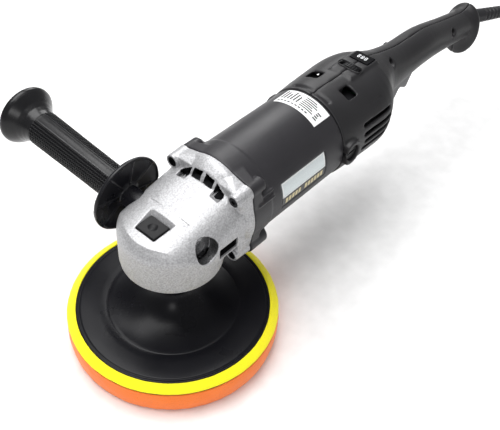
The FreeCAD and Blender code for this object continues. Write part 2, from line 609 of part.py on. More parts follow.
def shell_cuts():
    cuts = []
    # Air inlets along both sides, short one first.
    for angle, width, x0, x1 in ((51, 1.6, 193, 223), (70, 3.6, 193, 233), (82, 3.6, 193, 236),
                                 (92, 3.6, 194, 236), (102, 3.6, 192, 235)):
        slot = block(x0, x1, -width / 2, width / 2, MOTOR_Z + 33, MOTOR_Z + 60)
        cuts += [turned_about_motor(slot, angle), turned_about_motor(slot, -angle)]
    # Pair of openings on top, and a groove behind the label.
    top_slot = block(189, 201, 12, 24, 140, 170)
    cuts += [top_slot, mirrored_y(top_slot)]
    cuts.append(band(41.2, 60, 168.5, 173, -32, 24))
    # Seats of the readout window and the dial.
    cuts.append(block(WINDOW_X - 6.4, WINDOW_X + 6.4, -9.9, 9.9, 156.4, 170))
    cuts.append(block(WINDOW_X - 5, WINDOW_X + 5, -8, 8, 150, 170))
    cuts.append(block(DIAL_X - 3.6, DIAL_X + 3.6, -11.5, 11.5, 140, 170))
    # Brush caps and holders.
    for side in (-1, 1):
        low, high = sorted((side * 40.2, side * 60))
        cuts.append(y_cyl(7.7, low, high, BRUSH_X, MOTOR_Z))
        low, high = sorted((side * 20, side * 41))
        cuts.append(block(BRUSH_X - 5.5, BRUSH_X + 5.5, low, high, MOTOR_Z - 4.6, MOTOR_Z + 4.6))
    # Trigger opening below, lock-on button in the right side.
    cuts.append(block(285, 339, -8.3, 8.3, 60, 112))
    cuts.append(y_cyl(4.65, 10, 30, LOCK_ON_X, LOCK_ON_Z))
    cuts.append(y_cyl(2.45, -11.2, 11.2, PIVOT_X, PIVOT_Z))
    # Screws.
    for x, z, depth in SHELL_SCREWS:
        cuts.append(y_cyl(1.9, -depth - 1, depth - 2, x, z))
        cuts.append(y_cyl(3.6, -60, -depth, x, z))
    # Cord boot's throat.
    cuts.append(x_cyl(8.1, 432, 470, 0, CORD_START.z))
    return cuts


def inner_ribs(space):
    """Everything that stands inside the two shells, trimmed to the space inside them."""
    ribs = [x_cyl(60, 190, 197).cut(x_cyl(11.0, 180, 205))]
    for side in (-1, 1):
        low, high = sorted((side * 27, side * 50))
        ribs.append(y_cyl(11.5, low, high, BRUSH_X, MOTOR_Z))
        low, high = sorted((side * 8.6, side * 30))
        ribs.append(y_cyl(5.0, low, high, PIVOT_X, PIVOT_Z))
    for x, z, depth in SHELL_SCREWS:
        ribs.append(y_cyl(5.2, -50, 50, x, z))
    ribs.append(block(300, 302, -20, 20, 134.5, 160))
    ribs.append(block(326, 328, -20, 20, 134.5, 160))
    return [rib.common(space) for rib in ribs]


def make_shells():
    inside = handle_form(WALL)
    collar_groove = x_cyl(10.0, 434, 438, 0, CORD_START.z)
    walls = handle_form(0.0).cut(inside).fuse(bulb_form().cut(collar_groove).cut(inside))
    caps = [y_cyl(12.0, -47.0, -36, BRUSH_X, MOTOR_Z), y_cyl(12.0, 36, 47.0, BRUSH_X, MOTOR_Z)]
    plateau = block(207, 248.5, -12.6, 12.6, 145, 158.0)
    plateau = plateau.makeFillet(2.5, [e for e in plateau.Edges if e.BoundBox.ZMin > 157.9])
    outside = [piece.cut(inside) for piece in caps + [plateau]]
    body = walls.multiFuse(outside + inner_ribs(inside))
    body = cut_all(body, shell_cuts())
    parts["handle_shell_left"] = body.common(block(TUBE_END_X, 500, -80, 0, 20, 220))
    parts["handle_shell_right"] = body.common(block(TUBE_END_X, 500, 0, 80, 20, 220))
    screws = []
    for x, z, depth in SHELL_SCREWS:
        screw = y_cyl(1.8, -depth, depth - 2.5, x, z).fuse(y_cyl(3.4, -depth - 2.2, -depth, x, z))
        screws.append(screw.cut(block(x - 2.2, x + 2.2, -depth - 3, -depth - 1.2, z - 0.5, z + 0.5)))
    parts["handle_screws"] = Part.makeCompound(screws)


# ---------------------------------------------------------------- controls
def make_controls():
    window = block(WINDOW_X - 6.3, WINDOW_X + 6.3, -9.8, 9.8, 156.4, 158.4)
    parts["readout_window"] = window.makeFillet(0.5, [e for e in window.Edges if e.BoundBox.ZMin > 158.3])

    board = block(203, 247, -14, 14, 128, 129.6)
    sink = block(206, 216, -10, 10, 118, 128)
    fins = [block(205, 217, -9 + 4 * i, -7 + 4 * i, 117, 125) for i in range(5)]
    display = block(WINDOW_X - 4.8, WINDOW_X + 4.8, -7.8, 7.8, 129.6, 137)
    capacitor = z_cyl(4, 129.6, 139, 210, 6)
    parts["control_board"] = fused([board, sink.cut(fins), display, capacitor])

    wheel = x_cyl(DIAL_R, DIAL_X - 3, DIAL_X + 3, 0, DIAL_Z)
    grooves = []
    for i in range(30):
        groove = x_cyl(0.55, DIAL_X - 4, DIAL_X + 4, 0, DIAL_Z + DIAL_R + 0.1)
        groove.rotate(V(0, 0, DIAL_Z), X_DIR, 12 * i)
        grooves.append(groove)
    parts["speed_dial"] = cut_all(wheel, grooves).fuse(x_cyl(2, DIAL_X - 5, DIAL_X + 5, 0, DIAL_Z))

    profile = [(286.5, 113), (286.5, 104), (294.5, 80), (296.8, 77.4), (300.5, 77.6), (308.5, 91), (311, 92),
               (320, 87), (323, 87.5), (331, 102), (337.5, 106), (337.5, 110.5), (300, 113)]
    paddle = polygon_face([V(x, -7.9, z) for x, z in profile]).extrude(V(0, 15.8, 0))
    paddle = paddle.makeFillet(1.6, [e for e in paddle.Edges if abs(e.BoundBox.YLength) < 0.1
                                     and e.BoundBox.ZMax < 104])
    trunnions = y_cyl(2.4, -11, 11, PIVOT_X + 0.0, PIVOT_Z)
    parts["trigger"] = fused([paddle, trunnions])
    parts["trigger_spring"] = coil_spring(3.0, 0.45, 5.8, 3, V(322, 0, 111.6), Z_DIR)
    switch = block(296, 332, -8.5, 8.5, 117.4, 134.5)
    terminals = [block(332, 337, y, y + 1, 121 + k, 125 + k) for y in (-5, 4) for k in (0, 8)]
    parts["switch_body"] = fused([switch.makeFillet(0.8, switch.Edges)] + terminals)
    button = y_cyl(4.55, 12.0, 20.2, LOCK_ON_X, LOCK_ON_Z)
    button = button.makeFillet(0.8, [e for e in button.Edges if e.BoundBox.YMin > 20.1])
    parts["lock_on_button"] = fused([button, y_cyl(5.6, 11.3, 12.7, LOCK_ON_X, LOCK_ON_Z)])


# ---------------------------------------------------------------- cord
# Route of the free cord: out of the boot, down past the handle's end, round to the coil.
ROUTE = [(521.0, -15.8, 94.5), (541.5, -21.5, 89.5), (562.0, -29.0, 77.5), (579.0, -39.0, 58.5),
         (589.5, -52.0, 35.0), (592.5, -68.0, 15.5), (592.8, -86.0, 5.6), (591.5, -106.0, 4.2),
         (588.0, -122.0, 4.2)]
LEAD = [(592.6, -104.0, 12.2), (595.0, -120.0, 12.0), (600.5, -136.0, 12.6), (602.5, -152.0, 13.0)]
PLUG_Z = 13.0


def cord_tube(points, name):
    """Straight runs joined by arcs as large as the runs allow."""
    pts = [V(*p) for p in points]
    edges = []
    radii = []
    last = pts[0]
    for before, corner, after in zip(pts, pts[1:], pts[2:]):
        back = (before - corner).normalize()
        ahead = (after - corner).normalize()
        turn = math.pi - back.getAngle(ahead)
        trim = 0.45 * min((before - corner).Length, (after - corner).Length)
        radius = trim / math.tan(turn / 2)
        start = corner + back * trim
        stop = corner + ahead * trim
        middle = (back + ahead).normalize()
        centre_distance = radius / math.cos(turn / 2)
        mid = corner + middle * (centre_distance - radius)
        edges.append(Part.LineSegment(last, start).toShape())
        edges.append(Part.Arc(start, mid, stop).toShape())
        radii.append(round(radius, 1))
        last = stop
    edges.append(Part.LineSegment(last, pts[-1]).toShape())
    path = Part.Wire(edges)
    profile = Part.Wire([Part.makeCircle(CORD_R, pts[0], pts[1] - pts[0])])
    tube = path.makePipeShell([profile], True, False)
    wanted = math.pi * CORD_R ** 2 * path.Length
    print(name, "radii", radii, "length %.1f" % path.Length, "volume ratio %.4f" % (tube.Volume / wanted))
    return tube


def make_cord():
    origin = CORD_START
    start = V(*ROUTE[0])
    length = (start - origin).Length
    axis = (start - origin).normalize()

    def along(radius0, radius1, s0, s1):
        foot = origin + axis * s0
        if radius0 == radius1:
            return Part.makeCylinder(radius0, s1 - s0, foot, axis)
        return Part.makeCone(radius0, radius1, s1 - s0, foot, axis)

    boot = [x_cyl(CORD_R, 418, 434, 0, origin.z), x_cyl(9.8, 434.3, 437.6, 0, origin.z),
            x_cyl(7.9, 434, origin.x, 0, origin.z), Part.makeSphere(7.9, origin), along(7.9, 7.6, 0, 8),
            along(7.6, 6.4, 8, length - 6), along(6.4, 5.4, length - 6, length - 0.6)]
    body = fused(boot)
    rings = [along(9, 9, s, s + 1.3).cut(along(5.9, 5.9, s - 1, s + 3)) for s in (14, 20, 26, 32, 38, 44)]
    parts["cord_boot"] = cut_all(body, rings)
    clamp = block(424, 431, -6.6, 6.6, 99.4, 110.6)
    parts["cord_clamp"] = clamp.cut(x_cyl(CORD_R + 0.05, 420, 440, 0, origin.z))
    parts["power_cord"] = Part.makeCompound([cord_tube(ROUTE, "cord"), cord_tube(LEAD, "lead")])
    cx, cy = COIL_CENTRE
    ring = z_cyl(COIL_OUT_R, 0.2, COIL_H + 0.2, cx, cy).cut(z_cyl(COIL_IN_R, -1, COIL_H + 2, cx, cy))
    parts["power_cord_coil"] = ring.makeFillet(3.5, ring.Edges)

    px, py = LEAD[-1][0], LEAD[-1][1]
    sections = [(0.6, 5.0, 5.0, 2), (10, 6.0, 6.0, 2), (15, 11.0, 10.0, 2.4), (24, 17.0, 12.6, 3),
                (40, 17.6, 12.8, 3.4)]
    wires = []
    for s, half_x, half_z, power in sections:
        wire = superellipse_wire(0, 0, half_x, half_z, power)
        wire.rotate(V(0, 0, 0), Z_DIR, -90)
        wire.translate(V(px, py - s, PLUG_Z))
        wires.append(wire)
    parts["plug_body"] = Part.makeLoft(wires, True, False)
    pins = []
    for side in (-1, 1):
        pins.append(turned_y([(py - 59, 0), (py - 59, 1.6), (py - 58, 2.4), (py - 40, 2.4), (py - 40, 0)],
                             px + side * 9.5, PLUG_Z))
    parts["plug_pins"] = Part.makeCompound(pins)


# ---------------------------------------------------------------- side handle
GUARD_Y = 50.0
GUARD_R = 33.5


def make_side_handle():
    disc = turned_y([(SIDE_SEAT_Y, STUD_R), (SIDE_SEAT_Y, 9.0), (47.5, 9.0), (GUARD_Y - 1, 12),
                     (GUARD_Y - 1, GUARD_R - 1.6), (GUARD_Y - 2.2, GUARD_R - 1.4), (GUARD_Y - 2.2, GUARD_R - 0.4),
                     (GUARD_Y - 0.6, GUARD_R), (GUARD_Y + 1.2, GUARD_R - 0.4), (GUARD_Y + 1.2, STUD_R)])
    ribs = []
    for i in range(8):
        rib = block(-0.7, 0.7, GUARD_Y - 2.2, GUARD_Y, SIDE_Z + 8, SIDE_Z + GUARD_R - 1.5)
        rib.rotate(V(0, 0, SIDE_Z), Y_DIR, 45 * i + 12)
        ribs.append(rib)
    parts["side_handle_guard"] = raised_outward(fused([disc] + ribs))
    y0 = GUARD_Y + 1.2
    grip = [(y0, STUD_R), (y0, 12.4), (y0 + 2, 13.2), (62, 13.6), (64, 14.0), (110, 14.5), (156, 15.4),
            (162, 17.0), (167, 20.6), (171, 24.6), (173.5, 26.2), (176, 26.4), (178.2, 25.2), (179, 22.5),
            (179.3, 0), (90, 0), (90, STUD_R)]
    parts["side_handle_grip"] = raised_outward(turned_y(grip))
    parts["side_handle_stud"] = raised_outward(y_cyl(STUD_R, 25, 90, 0, SIDE_Z))


def main():
    make_pad()
    make_spindle()
    make_head()
    make_spindle_lock()
    make_motor_housing()
    make_stator()
    make_armature()
    make_brushes()
    make_shells()
    make_controls()
    make_cord()
    make_side_handle()
    os.makedirs("parts", exist_ok=True)
    for name, shape in parts.items():
        print("%-24s solids %2d  volume %10.1f  valid %s" % (
            name, len(shape.Solids), shape.Volume, shape.isValid()))
        shape.exportStep("parts/%s.step" % name)
    print(len(parts), "nodes")


main()
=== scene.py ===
import math

import bmesh
import bpy
from mathutils import Matrix, Vector, noise


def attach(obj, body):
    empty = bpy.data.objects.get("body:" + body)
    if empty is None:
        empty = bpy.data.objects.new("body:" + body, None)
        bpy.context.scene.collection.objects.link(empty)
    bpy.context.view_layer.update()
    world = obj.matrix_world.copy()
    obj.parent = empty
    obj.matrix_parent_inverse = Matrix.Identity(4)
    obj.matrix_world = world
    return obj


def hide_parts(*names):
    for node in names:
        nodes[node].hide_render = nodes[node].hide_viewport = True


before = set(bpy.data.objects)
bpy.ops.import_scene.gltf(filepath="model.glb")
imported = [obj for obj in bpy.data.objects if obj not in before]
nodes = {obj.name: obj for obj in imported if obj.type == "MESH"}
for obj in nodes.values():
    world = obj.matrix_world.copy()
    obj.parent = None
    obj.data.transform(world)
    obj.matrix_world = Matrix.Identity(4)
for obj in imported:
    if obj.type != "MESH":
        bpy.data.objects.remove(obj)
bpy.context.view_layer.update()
scene = bpy.context.scene
MM = 0.001
MOTOR_Z = 0.1156                  # height of the motor axis, m
TUBE_R = 0.0419                   # outer radius of the motor housing, m
LABEL_PRINT_R = TUBE_R + 0.00039  # just clear of the specification label
NAMEPLATE_R = 0.04132
TRIM_STRIP_R = 0.04122
READOUT_Z = 0.15845               # just above the readout window, m

# The rest of these are in mm.
LUG_Y, LUG_Z = 32.6, 29.4         # corner screw lugs, from the motor axis
FLANGE_OUTLINE = [(32.5, 29.0), (34.5, 34.0), (38.0, 38.0), (43.0, 41.3), (46.0, 42.6), (60.0, 42.6)]
AIR_OUTLETS = [[(2.0, 146.2), (10.2, 144.7), (10.2, 150.6), (2.0, 152.2)],
               [(13.4, 143.4), (22.8, 137.2), (22.2, 143.0), (13.4, 149.4)]]
LOCK_X = -18.4
HANDLE_Y, HANDLE_Z = 41.0, 122.0  # side handle axis where it meets the gear head
SIDE_RISE = math.radians(3.3)     # how steeply that axis climbs outwards
DIAL_X = 222.0
WINDOW_X = 240.5


def plain_mesh(name, verts, faces):
    mesh = bpy.data.meshes.new(name)
    mesh.from_pydata([tuple(v) for v in verts], [], faces)
    return mesh


# ---------------------------------------------------------------- camera, light and floor
def make_camera():
    right = Vector((0.6640, -0.7463, 0.0464))
    up = Vector((0.5151, 0.5015, 0.6950))
    back = Vector((-0.5419, -0.4376, 0.7175))
    place = Matrix((right, up, back)).transposed().to_4x4()
    place.translation = Vector((-0.2832, -0.3055, 0.5638))
    data = bpy.data.cameras.new("camera")
    data.sensor_width = 36.0
    data.lens = 56.9
    data.clip_start = 0.01
    camera = bpy.data.objects.new("camera", data)
    camera.matrix_world = place
    scene.collection.objects.link(camera)
    scene.camera = camera


def area_light(name, spot, target, size, power, color=(1, 1, 1)):
    data = bpy.data.lights.new(name, "AREA")
    data.shape = "RECTANGLE"
    data.size, data.size_y = size
    data.energy = power
    data.color = color
    light = bpy.data.objects.new(name, data)
    light.location = spot
    light.rotation_euler = (Vector(target) - Vector(spot)).to_track_quat("-Z", "Y").to_euler()
    scene.collection.objects.link(light)


def make_studio():
    world = bpy.data.worlds.new("studio")
    world.use_nodes = True
    background = world.node_tree.nodes["Background"]
    background.inputs["Color"].default_value = (1, 1, 1, 1)
    background.inputs["Strength"].default_value = 0.42
    scene.world = world
    scene.view_settings.view_transform = "Standard"
    area_light("key", (0.0, 0.30, 1.3), (0.08, 0.0, 0.05), (1.1, 0.9), 20.0)
    area_light("side", (-0.9, -0.75, 0.7), (0.05, 0.0, 0.08), (0.5, 0.4), 3.0)
    area_light("back", (0.9, 0.7, 0.9), (0.2, 0.0, 0.1), (0.4, 0.8), 6.0)

    s = 6.0
    mesh = plain_mesh("floor", [(-s, -s, 0), (s, -s, 0), (s, s, 0), (-s, s, 0)], [(0, 1, 2, 3)])
    floor = bpy.data.objects.new("floor", mesh)
    scene.collection.objects.link(floor)
    paper = surface("floor_paper", (0.90, 0.90, 0.90), 0.9, grain=900, bump=0.02)
    floor.data.materials.append(paper)


# ---------------------------------------------------------------- materials
def add_node(tree, kind, inputs=None, **settings):
    node = tree.nodes.new(kind)
    for key, value in settings.items():
        setattr(node, key, value)
    for key, value in (inputs or {}).items():
        if isinstance(value, bpy.types.NodeSocket):
            tree.links.new(value, node.inputs[key])
        else:
            node.inputs[key].default_value = value
    return node


def shade(color, k):
    return tuple(min(1.0, c * k) for c in color) + (1.0,)


def surface(name, color, rough=0.5, metallic=0.0, grain=1500.0, bump=0.15, mottle=0.12, patch=60.0,
            speckle=0.0, specular=0.5):
    """Moulded, cast or turned finish: fine grain in the bump, slow changes of tone and roughness."""
    material = bpy.data.materials.new(name)
    material.use_nodes = True
    tree = material.node_tree
    shader = tree.nodes["Principled BSDF"]
    where = add_node(tree, "ShaderNodeTexCoord").outputs["Object"]
    slow = add_node(tree, "ShaderNodeTexNoise", {"Vector": where, "Scale": patch, "Detail": 4.0})
    fine = add_node(tree, "ShaderNodeTexNoise", {"Vector": where, "Scale": grain, "Detail": 3.0})
    # A mix node has one set of sockets for each data type: colours are inputs 6 and 7, output 2.
    tone = add_node(tree, "ShaderNodeMix", {"Factor": slow.outputs["Fac"], 6: shade(color, 1 - mottle),
                                            7: shade(color, 1 + mottle)}, data_type="RGBA")
    out = tone.outputs[2]
    if speckle:
        dots = add_node(tree, "ShaderNodeMapRange", {
            "Value": fine.outputs["Fac"], "From Min": 0.35, "From Max": 0.65,
            "To Min": 1 - speckle, "To Max": 1 + speckle})
        grey = add_node(tree, "ShaderNodeVectorMath", {0: out, "Scale": dots.outputs["Result"]},
                        operation="SCALE")
        out = grey.outputs["Vector"]
    tree.links.new(out, shader.inputs["Base Color"])
    spread = add_node(tree, "ShaderNodeMapRange", {
        "Value": slow.outputs["Fac"], "From Min": 0.3, "From Max": 0.7,
        "To Min": max(0.02, rough - 0.06), "To Max": rough + 0.06})
    tree.links.new(spread.outputs["Result"], shader.inputs["Roughness"])
    relief = add_node(tree, "ShaderNodeBump", {"Height": fine.outputs["Fac"], "Strength": bump,
                                               "Distance": 0.0004})
    tree.links.new(relief.outputs["Normal"], shader.inputs["Normal"])
    shader.inputs["Metallic"].default_value = metallic
    shader.inputs["Specular IOR Level"].default_value = specular
    return material


def foam(name, color, cell):
    """Open-cell foam: painted shade darkens the pores, and a soft bump."""
    material = bpy.data.materials.new(name)
    material.use_nodes = True
    tree = material.node_tree
    shader = tree.nodes["Principled BSDF"]
    where = add_node(tree, "ShaderNodeTexCoord").outputs["Object"]
    pores = add_node(tree, "ShaderNodeTexVoronoi", {"Vector": where, "Scale": cell})
    depth = add_node(tree, "ShaderNodeMapRange", {
        "Value": pores.outputs["Distance"], "From Min": 0.05, "From Max": 0.45,
        "To Min": 0.0, "To Max": 1.0})
    slow = add_node(tree, "ShaderNodeTexNoise", {"Vector": where, "Scale": 45.0, "Detail": 5.0})
    both = add_node(tree, "ShaderNodeMath", {
        0: depth.outputs["Result"], 1: slow.outputs["Fac"], 2: 0.25}, operation="MULTIPLY_ADD")
    ramp = add_node(tree, "ShaderNodeValToRGB", {"Fac": both.outputs["Value"]})
    ramp.color_ramp.elements[0].color = shade(color, 0.74)
    ramp.color_ramp.elements[1].color = shade(color, 1.06)
    ramp.color_ramp.elements[1].position = 0.6
    tree.links.new(ramp.outputs["Color"], shader.inputs["Base Color"])
    relief = add_node(tree, "ShaderNodeBump", {"Height": depth.outputs["Result"], "Strength": 0.35,
                                               "Distance": 0.0005})
    tree.links.new(relief.outputs["Normal"], shader.inputs["Normal"])
    shader.inputs["Roughness"].default_value = 0.95
    shader.inputs["Sheen Weight"].default_value = 0.25
    shader.inputs["Specular IOR Level"].default_value = 0.15
    return material


def turned_metal(name, color, rough=0.3):
    """Machined metal with fine tool marks."""
    material = surface(name, color, rough, metallic=1.0, grain=2500, bump=0.08, mottle=0.06)
    material.node_tree.nodes["Principled BSDF"].inputs["Anisotropic"].default_value = 0.4
    return material


def make_materials():
    m = {}
    m["cast"] = surface("cast_aluminium", (0.40, 0.40, 0.41), 0.42, metallic=0.45, grain=750, bump=0.7,
                        mottle=0.06, speckle=0.2)
    # Painted shade: near black for hollows, pits and slots that light barely reaches.
    m["dark"] = surface("unlit_hollow", (0.006, 0.006, 0.007), 0.7, grain=900, bump=0.1, specular=0.1)
    # Painted shade: darker, patchy metal for the inside of the side handle recess.
    m["recess"] = surface("recess_painted_shade", (0.16, 0.16, 0.165), 0.3, metallic=0.8, grain=1500,
                          bump=0.3, mottle=0.4, patch=160, speckle=0.4)
    m["housing"] = surface("housing_plastic", (0.021, 0.020, 0.023), 0.42, grain=1700, bump=0.18,
                           mottle=0.2, patch=30, specular=0.33)
    m["shell"] = surface("shell_plastic", (0.015, 0.0145, 0.016), 0.42, grain=1700, bump=0.2,
                         mottle=0.2, patch=30, specular=0.3)
    m["black"] = surface("black_plastic", (0.006, 0.006, 0.007), 0.45, grain=1500, bump=0.1,
                         specular=0.2)
    m["plate"] = surface("plate_plastic", (0.005, 0.005, 0.007), 0.30, grain=160, bump=0.05, mottle=0.3,
                         patch=22, specular=0.16)
    m["guard"] = surface("guard_plastic", (0.006, 0.006, 0.008), 0.3, grain=900, bump=0.05, specular=0.3)
    m["grip"] = surface("grip_rubber", (0.006, 0.006, 0.007), 0.24, grain=1400, bump=0.1, mottle=0.2,
                        specular=0.3)
    m["rubber"] = surface("cord_rubber", (0.011, 0.011, 0.013), 0.38, grain=1300, bump=0.12,
                          specular=0.35)
    m["trigger"] = surface("trigger_plastic", (0.075, 0.075, 0.078), 0.42, grain=1500, bump=0.15)
    m["window"] = surface("window_plastic", (0.002, 0.002, 0.003), 0.3, grain=300, bump=0.01,
                          specular=0.06)
    m["steel"] = turned_metal("bright_steel", (0.62, 0.62, 0.64))
    m["gear"] = turned_metal("gear_steel", (0.40, 0.40, 0.42), 0.35)
    m["screw"] = turned_metal("black_oxide_steel", (0.035, 0.035, 0.038), 0.35)
    m["core"] = surface("core_steel", (0.30, 0.30, 0.32), 0.45, metallic=0.9, grain=2200, bump=0.3)
    m["copper"] = surface("enamelled_copper", (0.60, 0.24, 0.10), 0.35, metallic=0.9, grain=1600,
                          bump=0.5)
    m["brass"] = turned_metal("brass", (0.72, 0.50, 0.20))
    m["bronze"] = surface("sintered_bronze", (0.45, 0.28, 0.12), 0.5, metallic=0.9, speckle=0.15)
    m["carbon"] = surface("carbon", (0.02, 0.02, 0.02), 0.6, grain=1800, bump=0.3)
    m["board"] = surface("circuit_board", (0.01, 0.09, 0.03), 0.35, grain=800, bump=0.1)
    m["white"] = surface("label_white", (0.80, 0.81, 0.81), 0.4, grain=900, bump=0.03, mottle=0.03)
    m["silver"] = surface("label_silver", (0.62, 0.67, 0.68), 0.4, metallic=0.5, grain=2200, bump=0.1,
                          mottle=0.06, patch=150, speckle=0.08)
    m["ink"] = surface("label_ink", (0.01, 0.01, 0.012), 0.6, grain=900, bump=0.02)
    m["strip"] = surface("label_strip", (0.012, 0.012, 0.012), 0.3, grain=900, bump=0.03)
    m["gold"] = surface("label_gold", (0.60, 0.52, 0.30), 0.35, metallic=0.6, grain=900, bump=0.03)
    m["glow"] = surface("readout_marks", (0.85, 0.87, 0.88), 0.3, grain=900, bump=0.01)
    # Faint emission on the readout figures: painted light, to make them read brighter.
    painted_glow = m["glow"].node_tree.nodes["Principled BSDF"]
    painted_glow.inputs["Emission Color"].default_value = (0.9, 0.95, 1.0, 1.0)
    painted_glow.inputs["Emission Strength"].default_value = 0.35
    m["orange"] = foam("orange_foam", (0.95, 0.21, 0.030), 700)
    m["yellow"] = foam("yellow_foam", (0.92, 0.82, 0.018), 900)
    m["hook"] = surface("hook_fabric", (0.012, 0.012, 0.012), 0.9, grain=2500, bump=0.8)
    return m


make_camera()
make_studio()
M = make_materials()


# ---------------------------------------------------------------- making pieces
def new_piece(name, mesh, material, body):
    piece = bpy.data.objects.new(name, mesh)
    scene.collection.objects.link(piece)
    mesh.materials.clear()
    mesh.materials.append(M[material])
    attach(piece, body)
    return piece


def apply_modifiers(piece):
    bpy.context.view_layer.update()
    graph = bpy.context.evaluated_depsgraph_get()
    mesh = bpy.data.meshes.new_from_object(piece.evaluated_get(graph))
    old = piece.data
    piece.modifiers.clear()
    piece.data = mesh
    bpy.data.meshes.remove(old)
    mesh.name = piece.name


def rounded(node, body, material, voxel, smooth=4, keep=0.4, webs=()):
    """A node's shape with its edges eased, as a moulding or casting has them.

    Each of the webs is a cloud of points whose hull is melted into the shape.
    """
    mesh = nodes[node].data.copy()
    bm = bmesh.new()
    bm.from_mesh(mesh)
    bmesh.ops.remove_doubles(bm, verts=bm.verts, dist=1e-6)
    for points in webs:
        cloud = [bm.verts.new(p) for p in points]
        hull = bmesh.ops.convex_hull(bm, input=cloud)
        loose = [v for v in hull["geom_interior"] if isinstance(v, bmesh.types.BMVert) and v.is_valid]
        bmesh.ops.delete(bm, geom=loose, context="VERTS")
    bm.to_mesh(mesh)
    bm.free()
    piece = new_piece(node + "_skin", mesh, material, body)
    remesh = piece.modifiers.new("remesh", "REMESH")
    remesh.mode = "VOXEL"
    remesh.voxel_size = voxel
    remesh.use_smooth_shade = True
    ease = piece.modifiers.new("ease", "SMOOTH")
    ease.factor = 0.5
    ease.iterations = smooth
    thin = piece.modifiers.new("thin", "DECIMATE")
    thin.ratio = keep
    apply_modifiers(piece)
    for polygon in piece.data.polygons:
        polygon.use_smooth = True
    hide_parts(node)
    return piece


def paint(piece, material, where):
    """Painted shade: a second material on the faces whose centre, in mm, is in the given region."""
    piece.data.materials.append(M[material])
    slot = len(piece.data.materials) - 1
    for polygon in piece.data.polygons:
        if where(polygon.center / MM):
            polygon.material_index = slot


def lug_webs(lug_ends, lug_r, rim_stations):
    """Webs that run each corner lug into the round flange, whose rim is given by (x, radius)."""
    spread = 27
    webs = []
    for sy in (-1, 1):
        for sz in (-1, 1):
            cy, cz = sy * LUG_Y, sz * LUG_Z
            aim = math.atan2(cz, cy)
            points = []
            for x in lug_ends:
                for i in range(24):
                    a = 2 * math.pi * i / 24
                    points.append(Vector((x * MM, (cy + lug_r * math.cos(a)) * MM,
                                          MOTOR_Z + (cz + lug_r * math.sin(a)) * MM)))
            for x, r in rim_stations:
                for i in range(9):
                    a = aim + math.radians(spread * (i - 4) / 4)
                    points.append(Vector((x * MM, r * math.cos(a) * MM,
                                          MOTOR_Z + r * math.sin(a) * MM)))
                points.append(Vector((x * MM, 0.8 * r * math.cos(aim) * MM,
                                      MOTOR_Z + 0.8 * r * math.sin(aim) * MM)))
            webs.append(points)
    return webs


def radius_at(stations, x):
    """Radius between (x, radius) stations, or that of the last one beyond them."""
    for (x0, r0), (x1, r1) in zip(stations, stations[1:]):
        if x0 <= x <= x1:
            return r0 + (r1 - r0) * (x - x0) / (x1 - x0)
    return stations[-1][1]


def in_outline(a, b, corners, margin):
    """Whether (a, b) is inside the anticlockwise outline or within the margin of it."""
    for (a0, b0), (a1, b1) in zip(corners, corners[1:] + corners[:1]):
        across = (a1 - a0) * (b - b0) - (b1 - b0) * (a - a0)
        if across < -margin * math.hypot(a1 - a0, b1 - b0):
            return False
    return True


def in_hollow(p):
    """Air outlets, their duct, the side slots, the lock's pocket and the screw recesses, where shade is
    painted.
    """
    side, up = abs(p.y), p.z - MOTOR_Z / MM
    outlet = p.x > 32.6 and any(in_outline(side, p.z, outline, 0.4) for outline in AIR_OUTLETS)
    duct = p.x > 34.4 and math.hypot(side, up) < radius_at(FLANGE_OUTLINE, p.x) - 0.6
    slot = 10.6 < p.x < 46 and 19 < side < 39.6 and 106.2 < p.z < 116.4
    pocket = abs(p.x - LOCK_X) < 9.0 and side < 10.6 and p.z < 132.2
    screw = p.x > 34.3 and math.hypot(side - LUG_Y, abs(up) - LUG_Z) < 4.6
    return outlet or duct or slot or pocket or screw


def in_recess(p):
    """Round recess of a side handle hole, either side, where shade is painted."""
    drop = abs(p.y) - HANDLE_Y
    axis_z = HANDLE_Z + drop * math.tan(SIDE_RISE)
    return -10.4 < drop < -0.8 and math.hypot(p.x, p.z - axis_z) < 10.8


def grid_mesh(name, rows):
    """Closed skin of quads between rows of points, each row a ring round the form."""
    count = len(rows[0])
    faces = []
    for i in range(len(rows) - 1):
        for j in range(count):
            k = (j + 1) % count
            faces.append((i * count + j, i * count + k, (i + 1) * count + k, (i + 1) * count + j))
    faces.append(tuple(reversed(range(count))))
    faces.append(tuple(range((len(rows) - 1) * count, len(rows) * count)))
    mesh = plain_mesh(name, [p for row in rows for p in row], faces)
    bm = bmesh.new()
    bm.from_mesh(mesh)
    bmesh.ops.recalc_face_normals(bm, faces=bm.faces)
    bm.to_mesh(mesh)
    bm.free()
    for polygon in mesh.polygons:
        polygon.use_smooth = len(polygon.vertices) == 4
    return mesh


def lathe(name, profile, segments):
    """Solid of revolution about the spindle, from (radius, height) in mm, bottom centre first."""
    rows = []
    for r, z in profile:
        r = max(r, 0.02)
        rows.append([Vector((r * MM * math.cos(2 * math.pi * i / segments),
                             r * MM * math.sin(2 * math.pi * i / segments), z * MM))
                     for i in range(segments)])
    return grid_mesh(name, rows)


def around_motor(x, degrees, radius):
    """Point about the motor axis, from +Z towards -Y."""
    a = math.radians(degrees)
    return Vector((x * MM, -radius * math.sin(a), MOTOR_Z + radius * math.cos(a)))


def print_marks(name, boxes, radius, material):
    """Thin printed marks on the round housing, each (x0, x1, angle0, angle1)."""
    verts, faces = [], []
    for x0, x1, a0, a1 in boxes:
        steps = max(1, int(abs(a1 - a0) / 2.5))
        base = len(verts)
        for i in range(steps + 1):
            a = a0 + (a1 - a0) * i / steps
            verts += [around_motor(x0, a, radius), around_motor(x1, a, radius)]
        for i in range(steps):
            k = base + 2 * i
            faces.append((k, k + 1, k + 3, k + 2))
    piece = new_piece(name, plain_mesh(name, verts, faces), material, "tool_body")
    thick = piece.modifiers.new("thick", "SOLIDIFY")
    thick.thickness = 0.00006
    apply_modifiers(piece)


